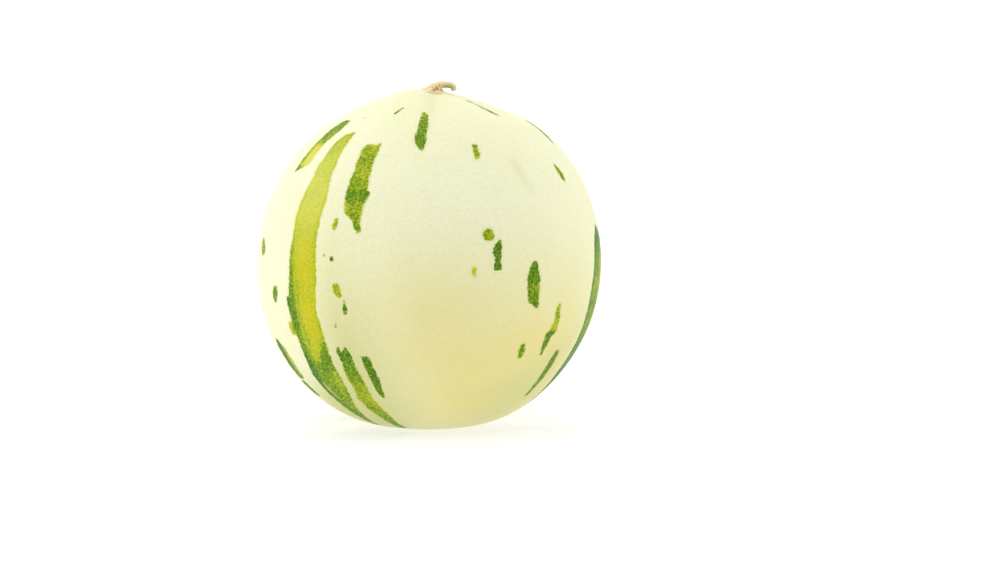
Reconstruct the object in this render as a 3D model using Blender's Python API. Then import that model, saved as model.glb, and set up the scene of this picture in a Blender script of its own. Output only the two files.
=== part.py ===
"""A snowball melon, whole, standing on the small flat spot at its blossom end.

It is a nearly round fruit with a smooth skin, and it carries the dry stub of its stem.
The units are metres, +Z is up and the origin is the middle of the spot that it rests on.
The side with the broad stripe faces -Y.
"""

from collections import namedtuple
from math import cos, exp, pi, radians, sin

import bmesh
import bpy
from mathutils import Vector

MM = 0.001

# The fruit
FRUIT_RADIUS = 67.25 * MM
CENTRE = Vector((0.0, 0.0, 63.2 * MM))
FACES_ROUND = 72
FACES_UP = 46

# The swells and hollows that keep the fruit from being a true ball. The middle of each is given
# by its bearing from the front, positive to the right, and its elevation, both in degrees. The
# rise is in metres, and the spread is the angle in degrees at which it has faded to a third.
# The last one flattens the blossom end, so that the fruit rests on a spot 26 mm wide.
Swell = namedtuple("Swell", "bearing elevation rise spread")
SWELLS = (
    Swell(bearing=90, elevation=42, rise=1.5 * MM, spread=25),
    Swell(bearing=-90, elevation=-42, rise=0.9 * MM, spread=24),
    Swell(bearing=165, elevation=15, rise=1.0 * MM, spread=28),
    Swell(bearing=90, elevation=68, rise=-1.3 * MM, spread=10),
    Swell(bearing=90, elevation=-40, rise=-0.5 * MM, spread=20),
    Swell(bearing=-90, elevation=86, rise=1.3 * MM, spread=7.7),
    Swell(bearing=0, elevation=-90, rise=-3.9 * MM, spread=18.5),
)

# The stem. A station is a place on its centreline, as x, y and the height above the crown of
# the plain ball, with the half-width of the stem there, all four in millimetres, and the
# angle in degrees from upright at which the stem leans there.
Station = namedtuple("Station", "x y height half_width lean")
STEM_STATIONS = (
    Station(x=1.3, y=0.0, height=0.7, half_width=4.45, lean=11),
    Station(x=1.4, y=0.0, height=1.1, half_width=3.8, lean=12),
    Station(x=1.9, y=0.0, height=1.65, half_width=2.9, lean=15),
    Station(x=2.9, y=-0.1, height=2.35, half_width=2.05, lean=35),
    Station(x=4.3, y=-0.3, height=2.9, half_width=1.4, lean=66),
    Station(x=6.6, y=-0.7, height=3.2, half_width=1.05, lean=92),
    Station(x=8.6, y=-1.1, height=3.0, half_width=1.0, lean=116),
    Station(x=9.75, y=-1.4, height=2.3, half_width=0.85, lean=155),
    Station(x=9.95, y=-1.5, height=1.25, half_width=0.68, lean=175),
)
STEM_SIDES = 30
STEPS_BETWEEN_STATIONS = 2
STEM_RIBS = 5
FOOT_RIB_DEPTH = 0.16
TIP_RIB_DEPTH = 0.05
FOOT_EDGE = 0.4 * MM
FOOT_THICKNESS = 1.0 * MM
STEM_GAP = 0.3 * MM

SKIN_COLOUR = (0.87, 0.88, 0.62, 1.0)
STEM_COLOUR = (0.50, 0.36, 0.20, 1.0)


def clear_scene():
    for obj in list(bpy.data.objects):
        bpy.data.objects.remove(obj, do_unlink=True)


def material(name, colour, roughness):
    made = bpy.data.materials.new(name)
    made.use_nodes = True
    made.diffuse_color = colour
    shader = made.node_tree.nodes["Principled BSDF"]
    shader.inputs["Base Color"].default_value = colour
    shader.inputs["Roughness"].default_value = roughness
    shader.inputs["Metallic"].default_value = 0.0
    return made


def add_part(name, bm, finish, collection):
    """Puts a finished bmesh in the scene as one smooth-shaded object."""
    bmesh.ops.recalc_face_normals(bm, faces=bm.faces)
    mesh = bpy.data.meshes.new(name)
    bm.to_mesh(mesh)
    bm.free()
    mesh.materials.append(finish)
    mesh.shade_smooth()
    obj = bpy.data.objects.new(name, mesh)
    collection.objects.link(obj)
    return obj


def towards(bearing, elevation):
    """The unit vector at a bearing from the front and an elevation, both in degrees."""
    turn, lift = radians(bearing), radians(elevation)
    return Vector((cos(lift) * sin(turn), -cos(lift) * cos(turn), sin(lift)))


def skin_radius(out):
    """How far the skin is from the fruit's middle along the unit vector out."""
    radius = FRUIT_RADIUS
    for swell in SWELLS:
        away = out.angle(towards(swell.bearing, swell.elevation)) / radians(swell.spread)
        radius += swell.rise * exp(-(away**2))
    return radius


def make_fruit(collection):
    """A sphere raised by its swells, with all that would lie below the ground drawn up to it."""
    bm = bmesh.new()
    bmesh.ops.create_uvsphere(bm, u_segments=FACES_ROUND, v_segments=FACES_UP, radius=1.0)
    grounded = set()
    for vert in bm.verts:
        out = vert.co.normalized()
        vert.co = CENTRE + out * skin_radius(out)
        if vert.co.z < 0:
            vert.co = CENTRE - out * (CENTRE.z / out.z)
            vert.co.z = 0
            grounded.add(vert)
    spot = [face for face in bm.faces if grounded.issuperset(face.verts)]
    bmesh.ops.dissolve_faces(bm, faces=spot)
    return add_part("fruit", bm, material("melon skin", SKIN_COLOUR, 0.42), collection)


def clear_of_skin(point, rise):
    """The point, moved straight out from the fruit's middle to at least a rise off the skin."""
    out = point - CENTRE
    least = skin_radius(out.normalized()) + rise
    return CENTRE + out.normalized() * max(out.length, least)


def smooth_between(before, start, end, after, share):
    """A Catmull-Rom blend of four values, from start at a share of 0 to end at 1."""
    slope_in, slope_out = (end - before) / 2, (after - start) / 2
    bend = 3 * (end - start) - 2 * slope_in - slope_out
    twist = slope_in + slope_out - 2 * (end - start)
    return start + share * (slope_in + share * (bend + share * twist))


def stem_places():
    """The stem's stations with more read between them, each as a vector of five numbers."""
    rows = [Vector(station) for station in STEM_STATIONS]
    rows = [2 * rows[0] - rows[1], *rows, 2 * rows[-1] - rows[-2]]
    places = []
    for four in zip(rows, rows[1:], rows[2:], rows[3:]):
        for step in range(STEPS_BETWEEN_STATIONS):
            places.append(smooth_between(*four, step / STEPS_BETWEEN_STATIONS))
    return places + [rows[-2]]


def stem_ring(place, rib_depth, rise):
    """One ribbed section of the stem, kept a rise off the skin."""
    x, y, height, half_width, lean = place
    middle = Vector((x, y, height)) * MM + CENTRE + Vector((0.0, 0.0, FRUIT_RADIUS))
    across = Vector((cos(radians(lean)), 0.0, -sin(radians(lean))))
    ring = []
    for n in range(STEM_SIDES):
        turn = 2 * pi * n / STEM_SIDES
        reach = half_width * MM * (1 + rib_depth * cos(STEM_RIBS * turn + pi))
        side = Vector((0.0, sin(turn), 0.0))
        ring.append(clear_of_skin(middle + reach * (cos(turn) * across + side), rise))
    return ring


def stem_rings():
    """The stem's sections in order, from its foot's underside to its tip."""
    places = stem_places()
    x, y, height, half_width, lean = places[0]
    rings = []
    for share in (0.5, 1.0):
        underside = (x, y, height - FOOT_THICKNESS / MM, half_width * share, lean)
        rings.append(stem_ring(underside, FOOT_RIB_DEPTH, STEM_GAP))
    for n, place in enumerate(places):
        share = n / (len(places) - 1)
        rib_depth = FOOT_RIB_DEPTH + share * (TIP_RIB_DEPTH - FOOT_RIB_DEPTH)
        rings.append(stem_ring(place, rib_depth, STEM_GAP + FOOT_EDGE))
    return rings


def fan(bm, loop, middle):
    """Closes a loop of vertices with triangles round one point."""
    tip = bm.verts.new(middle)
    for start, end in zip(loop, loop[1:] + loop[:1]):
        bm.faces.new((start, end, tip))


def make_stem(collection):
    """A loft from a ribbed, flared foot, spread over the fruit's crown, to a drooping tip."""
    bm = bmesh.new()
    rings = stem_rings()
    loops = [[bm.verts.new(point) for point in ring] for ring in rings]
    for low, high in zip(loops, loops[1:]):
        corners = zip(low, low[1:] + low[:1], high[1:] + high[:1], high)
        for corner in corners:
            bm.faces.new(corner)
    fan(bm, loops[0], clear_of_skin(sum(rings[0], Vector()) / STEM_SIDES, STEM_GAP))
    fan(bm, loops[-1], sum(rings[-1], Vector()) / STEM_SIDES)
    stem = add_part("stem", bm, material("dry stem", STEM_COLOUR, 0.8), collection)
    stem.data.set_sharp_from_angle(angle=radians(50))
    return stem


def main():
    clear_scene()
    collection = bpy.data.collections.new("snowball melon")
    bpy.context.scene.collection.children.link(collection)
    make_fruit(collection)
    make_stem(collection)


main()
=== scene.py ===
"""A whole snowball melon in its finished looks: a smooth cream rind with broken green and yellow
stripes, and the dry stub of its stem, on a plain pale stage.

The melon stands on the origin with +Z up, and lengths are in metres unless a name says so. A
place on the rind is an elevation above the fruit's middle and a bearing from its front, which
is the side that faces -Y. Both are in degrees, and the bearing grows to the right.
"""

import random
from collections import namedtuple
from functools import partial
from math import cos, degrees, pi, radians, sin

import bpy
import numpy as np
from bpy.props import FloatProperty, FloatVectorProperty, IntProperty, PointerProperty
from mathutils import Matrix, Vector, noise


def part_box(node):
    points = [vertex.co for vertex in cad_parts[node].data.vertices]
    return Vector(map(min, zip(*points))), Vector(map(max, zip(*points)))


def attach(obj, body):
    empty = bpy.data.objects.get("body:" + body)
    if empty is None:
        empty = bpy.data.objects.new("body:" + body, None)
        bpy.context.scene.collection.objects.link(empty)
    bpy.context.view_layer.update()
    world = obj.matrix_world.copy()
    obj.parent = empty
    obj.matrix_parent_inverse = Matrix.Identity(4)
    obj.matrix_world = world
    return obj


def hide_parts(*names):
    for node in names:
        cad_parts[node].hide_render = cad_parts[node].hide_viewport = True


bl_info = {
    "name": "Snowball Melon",
    "version": (1, 0, 0),
    "blender": (4, 5, 0),
    "location": "View3D > Sidebar > Melon",
    "description": "Makes a whole snowball melon with the dry stub of its stem, and its stage",
    "category": "Add Mesh",
}

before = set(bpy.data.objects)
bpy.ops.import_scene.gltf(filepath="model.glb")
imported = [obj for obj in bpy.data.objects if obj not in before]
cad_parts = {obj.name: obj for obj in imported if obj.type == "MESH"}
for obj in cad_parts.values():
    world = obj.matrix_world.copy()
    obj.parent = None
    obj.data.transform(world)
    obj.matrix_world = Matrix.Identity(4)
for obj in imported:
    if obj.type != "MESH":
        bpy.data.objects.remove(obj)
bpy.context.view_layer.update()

MM = 0.001
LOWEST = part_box("fruit")[0]

# The plain ball under the swells, which nothing swells at the front, and its middle
RADIUS = -LOWEST.y
MIDDLE = Vector((0.0, 0.0, 63.2 * MM))
CROWN = MIDDLE + Vector((0.0, 0.0, RADIUS))
MM_A_DEGREE = RADIUS / MM * pi / 180

# The swells and hollows that keep the fruit from being a true ball, as in the solid. The spread
# is the angle in degrees at which the rise has faded to a third.
Swell = namedtuple("Swell", "bearing elevation rise spread")
SWELLS = (
    Swell(90, 42, rise=1.5 * MM, spread=25),
    Swell(-90, -42, rise=0.9 * MM, spread=24),
    Swell(165, 15, rise=1.0 * MM, spread=28),
    Swell(90, 68, rise=-1.3 * MM, spread=10),
    Swell(90, -40, rise=-0.5 * MM, spread=20),
    Swell(-90, 86, rise=1.3 * MM, spread=7.7),
    Swell(0, -90, rise=-3.9 * MM, spread=18.5),
)
BLOSSOM_DIMPLE = Swell(0, -90, rise=0.7 * MM, spread=3.2)

# The stem. A station is a place on its centreline, as x, y and the height above the crown of
# the plain ball, with the half-width there, all in millimetres, and its lean from upright.
Station = namedtuple("Station", "x y height half_width lean")
STEM_STATIONS = (
    Station(1.6, 0.0, 0.0, 4.6, lean=8),
    Station(1.9, 0.0, 0.5, 4.0, lean=9),
    Station(2.5, 0.0, 1.2, 3.15, lean=13),
    Station(3.4, -0.1, 1.85, 2.25, lean=33),
    Station(4.6, -0.3, 2.55, 1.5, lean=64),
    Station(6.6, -0.7, 2.75, 1.14, lean=92),
    Station(8.5, -1.1, 2.5, 1.16, lean=116),
    Station(9.6, -1.4, 1.75, 1.1, lean=150),
    Station(9.75, -1.5, 0.6, 0.95, lean=172),
)
STEM_RIBS, TIP_RIB_DEPTH = 5, 0.05
STEM_STRANDS = 19

# The stem's roughness, as shares of its half-width, and the size of its bumps
FOOT_CRUST, CRUST, CRUST_SIZE = 0.09, 0.03, 0.9 * MM
GRIT, GRIT_SIZE = 0.03, 0.3 * MM

# The foot's edge is sunk in the skin, and each section after it stands a little further off.
EDGE_SINK = 0.35 * MM
EDGE_DEPTH_MM, EDGE_SHARE = 1.0, 0.97
FIRST_RISE_MM, RISE_STEP_MM, FULL_RISE_MM = -0.1, 0.04, 0.7

# The rings that round off the broken end and hollow it. Each is the ring before it, shrunk
# towards the end's middle to a share and moved inwards by a number of millimetres.
HOLLOW_END = ((0.86, -0.04), (0.62, 0.05), (0.38, 0.3), (0.2, 0.42))

# The stem is corky at its foot, over a share of its length, and most in a patch on its front
# right, under the bend.
FOOT_CORK, FOOT_SHARE = 0.1, 0.34
PATCH_CORK, PATCH_SIZE = 0.58, 3.4 * MM
PATCH_MIDDLE = CROWN + Vector((3.0, -2.6, 0.8)) * MM
CRUMBS_A_SQUARE_MM, CRUMB_SIZE, CRUMB_SEED = 6.0, 0.17 * MM, 5

# The torn strands stand in a ring, a share of the end's half-width across.
TORN_STRANDS, STRAND_RING, STRAND_SINK_MM = 15, 0.62, 0.2
STRAND_LENGTH, STRAND_RADIUS, STRAND_SEED = 0.55 * MM, 0.07 * MM, 3

# A stroke of colour on the rind is a row of places from its top to its bottom, each with the
# elevation, the bearing of its middle, its width in millimetres and a tint. In a mark the tint
# runs from 0, deep green, to 1, yellow.
MARKS = (
    # The broad stripe left of the middle, with the pointed horn at its top
    ((52, -40.5, 0.6, 0.5), (51, -42.4, 3.2, 0.52), (50, -43.4, 4.4, 0.54), (48, -44.4, 6.1, 0.56),
     (44, -44.8, 7.2, 0.56), (40, -44.4, 7.8, 0.58), (38, -44.6, 9.2, 0.6), (33, -44.1, 9.6, 0.64),
     (28, -43.7, 12, 0.68), (24, -43.9, 13.3, 0.7), (18, -44.3, 13.6, 0.68), (12, -44, 13.1, 0.62),
     (8, -44, 14.2, 0.58), (0, -43.8, 14.9, 0.54), (-12, -45.2, 15.8, 0.5),
     (-17, -44.8, 16.6, 0.5), (-21, -44.1, 15.4, 0.42), (-30, -44.3, 14.8, 0.28),
     (-35, -44.6, 16.2, 0.24), (-41, -44.3, 14.2, 0.3), (-45, -44.2, 11.5, 0.34),
     (-51, -44.9, 7.6, 0.3), (-58, -45, 4.2, 0.2), (-66, -45, 2, 0.2)),
    # The spur and the two small lobes on its left edge
    ((-7, -52, 0.6, 0.35), (-8.6, -51.6, 2.2, 0.35), (-11.4, -51.2, 3, 0.35)),
    ((-16, -53.4, 1.6, 0.6), (-18, -52.6, 5, 0.7), (-20.6, -52.2, 4, 0.6)),
    # The third stripe, with its horn, the bump on its right and the narrow neck
    ((46.4, -25.6, 4.4, 0.42), (45.6, -25.4, 6.2, 0.44), (44, -25.5, 6.9, 0.42),
     (40, -25.8, 6.8, 0.34), (36, -25.5, 6.9, 0.4), (32, -25.7, 8, 0.36), (29, -25.7, 8.2, 0.32),
     (28, -24.9, 9.7, 0.26), (26, -25.1, 9.5, 0.28), (24, -25.4, 8.4, 0.32),
     (21.2, -25.3, 7.4, 0.32), (20.2, -24.8, 6, 0.28), (19, -23.9, 4.2, 0.28), (18, -23.5, 3, 0.3),
     (15.4, -22.7, 2.4, 0.32), (14.4, -22.3, 1.2, 0.32)),
    ((47, -22, 0.8, 0.45), (45.2, -22.6, 2, 0.45), (43.4, -23.6, 2, 0.4)),
    # The dash under the stem
    ((64.2, -1.8, 0.6, 0.26), (62, -1.5, 2.5, 0.26), (59, -1.5, 3.4, 0.26), (56, -1.9, 3.6, 0.26),
     (53, -2.3, 3.9, 0.24), (50, -2.8, 4.4, 0.24), (48, -2.8, 4.3, 0.26), (46.5, -2.6, 3.6, 0.26),
     (45.4, -2.3, 2.6, 0.28), (44.2, -1.9, 0.8, 0.3)),
    # The stripe low on the left, forked at its top, that runs down beside the broad one
    ((-23.2, -29.2, 1.2, 0.1), (-25.4, -29.6, 3.6, 0.1), (-30.3, -30, 6, 0.22),
     (-35.2, -29.3, 6.6, 0.2), (-41, -29, 6.4, 0.42), (-45.2, -29.4, 7.2, 0.52),
     (-49, -28.2, 6.6, 0.45), (-54, -26.1, 5.6, 0.38), (-60, -24.4, 4.2, 0.34),
     (-68, -22, 3, 0.3)),
    ((-23, -32.4, 0.8, 0.1), (-25.2, -32.6, 1.7, 0.1), (-29, -31.8, 1.7, 0.1)),
    ((-26.2, -22.4, 3.2, 0.06), (-30, -21.6, 3.4, 0.08), (-35, -20.6, 3.6, 0.14),
     (-41, -20, 2.6, 0.2), (-44, -19.6, 1.2, 0.2)),
    # Short dashes right of the middle
    ((46.4, 23, 1.8, 0.36), (44, 22.7, 2.3, 0.4), (42, 22.5, 2.2, 0.4), (40.4, 21.9, 1.4, 0.4)),
    ((36.6, 62.4, 1.2, 0.24), (35, 62.7, 2.3, 0.26), (33.4, 63, 2.9, 0.28), (31, 63.2, 2.4, 0.3),
     (30, 63.2, 1.6, 0.3)),
    ((15.9, 21.2, 3.2, 0.38), (15, 21.1, 4.2, 0.4), (13, 21.1, 4.2, 0.36), (12.1, 21.2, 3.2, 0.3)),
    ((12.4, 24.9, 1, 0.08), (11, 24.5, 2.1, 0.08), (10, 24, 3.2, 0.06), (8.4, 23.7, 3.4, 0.06),
     (6.6, 23.9, 2.4, 0.08), (5.2, 23.8, 2.2, 0.12), (4, 23.6, 3, 0.14), (2.6, 23.6, 2.4, 0.14)),
    ((3.9, 15.8, 0.9, 0.66), (2.7, 15.8, 1.5, 0.6), (0.8, 15.8, 0.8, 0.66)),
    ((5, 37.6, 1.3, 0.08), (4.2, 37.4, 2.6, 0.1), (3, 37.1, 3.8, 0.12), (1, 36.9, 5.1, 0.14),
     (-1, 36.9, 6, 0.18), (-3.4, 36.9, 5.8, 0.42), (-5.2, 37, 5.4, 0.34), (-8.2, 37.2, 4.9, 0.22),
     (-8.8, 37.8, 3.6, 0.16), (-10.4, 38.9, 1, 0.16)),
    ((-22.4, 35.9, 1.6, 0.36), (-25.2, 36, 2.9, 0.38), (-27.9, 36.2, 1.6, 0.34)),
    # The zig-zag dash and the one below it, low on the right
    ((-9.5, 49.1, 1, 0.5), (-11.4, 49, 2, 0.4), (-13.6, 49.2, 2.8, 0.4), (-15.4, 49.3, 2.9, 0.44),
     (-17, 48.9, 3.8, 0.56), (-18.4, 48.6, 3.9, 0.5), (-19.4, 47.8, 5, 0.2),
     (-21, 46.6, 3.1, 0.18), (-24, 46.5, 2.7, 0.16), (-27.2, 46.3, 1, 0.16)),
    ((-26.4, 55.7, 2.2, 0.2), (-28, 55.6, 3.6, 0.2), (-33, 55.2, 4, 0.2), (-40, 54.4, 3.2, 0.2),
     (-46, 53.8, 1.6, 0.24)),
    # The broad stripe on the right edge
    ((13.8, 79.4, 2.4, 0.05), (12, 79.9, 7.2, 0.1), (9, 80.4, 15.4, 0.18), (4, 80.5, 18.7, 0.28),
     (0, 79.5, 18.5, 0.34), (-5, 79.9, 22.4, 0.36), (-12, 79, 21.1, 0.36), (-20, 78.6, 19, 0.28),
     (-26, 79.3, 20.2, 0.18), (-32, 78.3, 18.4, 0.14), (-38, 77, 15.7, 0.12),
     (-46, 76.3, 9.4, 0.14), (-56, 74.8, 4.2, 0.14), (-62, 75, 2, 0.12)),
    ((27, 92.6, 1, 0.1), (22, 91, 3.6, 0.12), (14, 89.4, 5.4, 0.2), (6, 88.4, 5, 0.2)),
    # The stripe on the upper left edge, green above and yellow below
    ((57.8, -58.2, 4, 0.16), (56.5, -58.8, 5.8, 0.18), (54, -59.4, 7.4, 0.26),
     (51, -60.2, 8.2, 0.32), (48, -60.6, 7.6, 0.32), (46, -61, 7, 0.5), (44.5, -61.2, 7.2, 0.84),
     (41, -61.4, 7.6, 0.9), (37.4, -61.2, 8, 0.9), (36.2, -62.4, 6.2, 0.6),
     (35.2, -63.6, 3.6, 0.2), (34, -65, 1.2, 0.1)),
    # The two stripes on the lower left edge
    ((-23.8, -71.5, 3, 0.1), (-26.5, -69.5, 8.6, 0.4), (-30.5, -68.6, 9, 0.55),
     (-34, -68.4, 8.4, 0.55), (-37.5, -67.4, 7.2, 0.5), (-39.2, -68, 3.4, 0.2)),
    ((-40.2, -70, 4, 0.06), (-42, -69.4, 5.4, 0.06), (-45.5, -68, 5.4, 0.06),
     (-47.4, -67, 2.6, 0.1)),
    # Small dashes on the left and between the stripes
    ((10, -72.3, 2.6, 0.4), (8.6, -71.5, 4.4, 0.4), (6.8, -70.8, 5.6, 0.36),
     (5.4, -70.6, 4.2, 0.4), (4.4, -70.4, 1.6, 0.4)),
    ((-4.6, -59.6, 3, 0.2), (-7.3, -60, 4, 0.2), (-9.2, -60.5, 3, 0.24),
     (-10.2, -60.7, 1.2, 0.24)),
    ((19, -31.2, 1.4, 0.4), (17.4, -31.5, 2.4, 0.45), (15.8, -31.6, 2.2, 0.4),
     (15.3, -31.6, 1.2, 0.4)),
    ((-1.7, -29.8, 2.4, 0.44), (-2.8, -29.7, 3.5, 0.44), (-4.4, -29.2, 3.5, 0.4),
     (-5.6, -28.8, 2.7, 0.36), (-6.6, -28.3, 1.3, 0.3)),
    ((-6.4, -27.2, 0.5, 0.2), (-8.2, -26.8, 1, 0.12), (-9.8, -26.8, 1.6, 0.08),
     (-11.8, -27, 1, 0.14)),
    ((6.7, -31.4, 0.9, 0.05), (5.2, -31.2, 1.3, 0.05)),
    ((7.6, -34.6, 0.5, 0.15), (6.6, -34.5, 0.5, 0.2)),
    ((-15, -31, 0.8, 0.1), (-16.2, -31.3, 0.8, 0.1)),
    # The thin dark lines high on the left and on the right
    ((67.2, -20.6, 0.8, 0.1), (64.6, -22, 1.1, 0.1), (62.4, -23.4, 0.8, 0.1)),
    ((60.1, -44.8, 0.8, 0.1), (59.5, -44.8, 0.8, 0.1)),
    ((73.6, 49, 1.2, 0.4), (70.4, 50.2, 1.2, 0.3), (66.4, 50.8, 1.2, 0.16), (63.2, 52.2, 1.3, 0.1),
     (60.1, 54.6, 1.1, 0.1)),
    ((56, 84, 2.2, 0.1), (52, 82.5, 2.6, 0.06), (48, 81, 2.4, 0.05), (44.2, 79, 1.4, 0.1)),
)

# Softer strokes that lie inside the marks, where the tint is added to the mark's own
STREAKS = (
    # The yellow core of the broad stripe, and the green along its left edge
    ((19, -41.8, 6, 0.1), (12, -42.6, 7, 0.16), (2, -41.6, 8.4, 0.26), (-8, -42, 8.2, 0.32),
     (-15, -42.8, 7.6, 0.26), (-20, -41.4, 5.6, 0.32), (-26, -43.4, 4.6, 0.3),
     (-31, -45, 3, 0.14)),
    ((12, -50.6, 3, -0.12), (4, -50.2, 4.4, -0.22), (-8, -50.6, 5.6, -0.34),
     (-15, -50.8, 4.6, -0.3), (-24, -50.6, 4.2, -0.16), (-32, -51.4, 4.6, -0.26),
     (-40, -51, 5.6, -0.3), (-52, -47.4, 3.6, -0.2)),
    ((-31, -39, 2.4, 0.1), (-36, -38.8, 3.6, 0.22), (-44, -40.4, 2.6, 0.16)),
    # Its dappled middle
    ((12, -47, 3, 0.12), (4, -46.4, 2, 0.16), (-2, -45.6, 1.4, 0.1)),
    ((-22, -47.4, 1.6, 0.1), (-25.6, -46.6, 2.6, 0.14), (-29, -46, 1.4, 0.06)),
    # The yellow spot low on the third stripe's left, and its bright top corner
    ((25, -29.2, 2, 0.2), (22.4, -28.4, 2.6, 0.32), (20.6, -27.6, 1.6, 0.2)),
    ((46.4, -23.6, 2, 0.12), (43, -24.2, 2.6, 0.16)),
    # The yellow cores and green edges of the back's broad stripes
    ((38, 135, 3, 0.1), (8, 136, 6, 0.26), (-24, 135, 5, 0.3), (-50, 134, 2, 0.1)),
    ((30, 129.6, 2, -0.1), (0, 128.6, 3.6, -0.26), (-36, 127.6, 3, -0.2)),
    ((14, 250, 2.4, 0.1), (-14, 250, 5, 0.24), (-46, 249, 3, 0.16)),
    ((10, 243.6, 2, -0.1), (-20, 243, 3.4, -0.22), (-52, 243, 2, -0.1)),
    # The dark borders of the stripes on the edges
    ((12, 77, 1.6, -0.2), (4, 73, 1.8, -0.3), (-12, 70.6, 1.8, -0.3), (-28, 70.2, 1.6, -0.1)),
    ((8, 82, 3, 0.14), (-5, 83, 5, 0.24), (-16, 82.6, 5, 0.22), (-30, 80, 2.4, 0.1)),
    ((46, -65.2, 2.6, -0.4), (40, -65, 2.8, -0.7), (36, -65.2, 2.8, -0.6)),
    ((-24, -72, 6, -0.4), (-28, -71.2, 6.4, -0.6), (-34, -70.6, 6.4, -0.6),
     (-38.5, -70.4, 6, -0.6)),
)
STREAK_FADE_MM = 2.2

# Where the marks are paler: the upper half of the broad stripe, the line that splits its lower
# end, and the yellow of the stripe on the upper left
PALES = (
    ((50, -43.4, 3, 0.1), (44, -44.8, 6, 0.25), (38, -44.6, 8, 0.36), (28, -43.7, 11, 0.46),
     (20, -44.1, 12, 0.36), (12, -44, 11, 0.14), (4, -44, 8, 0)),
    ((-38.7, -49.3, 0.6, 0.8), (-42.5, -48.2, 0.9, 1), (-46.7, -46.5, 0.6, 0.8)),
    ((45, -60, 4, 0.3), (40, -59.6, 5, 0.5), (36.4, -59.8, 4, 0.5)),
)

# Places where the cream skin is deeper in colour, round the middle and low on the right, and, with
# a tint below 0, lighter on the left edge and high on the front. The deeper places are partly the
# skin's own colour and partly painted shade, most low on the right. The lighter ones are painted
# light.
BEIGES_LIGHT_AND_SHADE = (
    ((22, 10, 40, 0.06), (5, 12, 80, 0.34), (-10, 16, 96, 0.54), (-25, 24, 96, 0.74),
     (-45, 28, 70, 0.8), (-70, 24, 20, 0.5)),
    # Painted light: lighter on the left edge
    ((50, -78, 10, -0.2), (10, -80, 30, -0.3), (-10, -76, 14, -0.1)),
    # Painted shade: deeper low on the right
    ((14, 60, 6, 0.08), (-8, 58, 20, 0.26), (-30, 56, 20, 0.3), (-50, 50, 8, 0.1)),
    # Painted light: lighter high on the front
    ((50, 18, 8, -0.05), (32, 18, 30, -0.14), (14, 26, 20, -0.1)),
)
BEIGE_FADE_MM = 70.0

# Places where it is more green, with edges of their own softness. The third is painted shade, from
# the right of the stem's foot down to the upper right.
FLUSHES_AND_SHADE = (
    ((80, 4, 3, 0.3), (74, 4, 3.6, 0.34), (66, 2, 4, 0.34), (58, -1, 4, 0.2), (46, -3, 4, 0.1)),
    ((38.6, 38.8, 1.2, 0.5), (34, 39.8, 1.6, 0.5), (29, 41, 0.8, 0.25)),
    # Painted shade beside the stem's foot, on its right
    ((82, 48, 2, 0.6), (78, 52, 2.4, 0.5), (70, 62, 3, 0.4), (62, 68, 3, 0.4)),
)
FLUSH_FADE_MM = 8.0
# Painted shade, laid on with the green flushes: greyer, darker skin low on the front left, low on
# the left and on the right, and on the upper front below the stem
PAINTED_SHADES = (
    ((24, -32, 6, 0.1), (6, -32, 14, 0.3), (-6, -30, 20, 0.5), (-16, -29, 22, 0.7),
     (-28, -28, 26, 0.85), (-38, -30, 30, 0.9), (-52, -34, 40, 0.8), (-70, -34, 20, 0.6)),
    ((-30, -64, 4, 0.1), (-42, -60, 16, 0.6), (-54, -56, 26, 0.7), (-70, -50, 10, 0.5)),
    ((-10, 74, 6, 0.2), (-24, 60, 20, 0.4), (-40, 48, 40, 0.6), (-66, 40, 20, 0.5)),
    ((86, 0, 16, 0.3), (72, -14, 24, 0.2), (60, -14, 20, 0.12), (48, -10, 10, 0)),
)
PAINTED_SHADE_FADE_MM = 30.0

# Places where the skin is tanned, beside the stem's foot
TANS = (((84, 8, 7, 0.55), (82.4, 16, 6.4, 0.6), (80.8, 22, 5, 0.5), (79.6, 26, 2.6, 0.3)),)
TAN_FADE_MM = 2.5

# Cork on the skin, with sizes in millimetres: a collar round the stem's foot, whose middle is
# given from the crown, and the blossom scar with a ring round it
COLLAR_CORK, COLLAR_MIDDLE, COLLAR_RADIUS, COLLAR_FADE = 0.4, (2.3, -1.6), 4.4, 1.4
SCAR_CORK, SCAR_RADIUS = 0.8, 3.6
RING_CORK, RING_RADIUS = 0.2, 6.0

# How far off a mark is taken to be where there is none near, in millimetres
NO_MARK = 20.0

# The broken stripes of the back. A broad stripe has its bearing, its top and its bottom, and its
# greatest width in millimetres. A lane is a bearing that a row of narrower pieces keeps to, with
# their lengths and gaps in degrees.
Broad = namedtuple("Broad", "bearing top bottom width tint")
BROAD_STRIPES = (
    Broad(101, top=61, bottom=38, width=7.5, tint=0.12),
    Broad(134, top=50, bottom=-60, width=15.0, tint=0.5),
    Broad(216, top=57, bottom=2, width=8.0, tint=0.2),
    Broad(216, top=-20, bottom=-50, width=6.0, tint=0.3),
    Broad(248, top=24, bottom=-64, width=13.0, tint=0.42),
)
LANES = (108, 120, 152, 169, 190, 232, 266)
LANE_TOPS, LANE_END = (20, 62), -56
LANE_DRIFT, LANE_GAPS = 5.0, (4, 30)
LANE_TINTS = (0.08, 0.16, 0.26, 0.36, 0.5)
Piece = namedtuple("Piece", "length width")
LONG_PIECE = Piece(length=(9, 30), width=(3.0, 6.5))
SHORT_PIECE = Piece(length=(1.5, 6), width=(1.0, 3.6))
LONG_SHARE = 0.45
BACK_SEED = 11

# How a broken stripe wanders: the degrees between its places, how wide its ends are and how fast
# it widens from them, and the most that each place's bearing, width and tint differ
PLACE_STEP, END_WIDTHS, WIDENING = 6, (0.1, 0.7), 4
BEARING_SWAY, WIDTH_SWAY, TINT_SWAY = 0.9, (0.76, 1.1), 0.1

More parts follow.
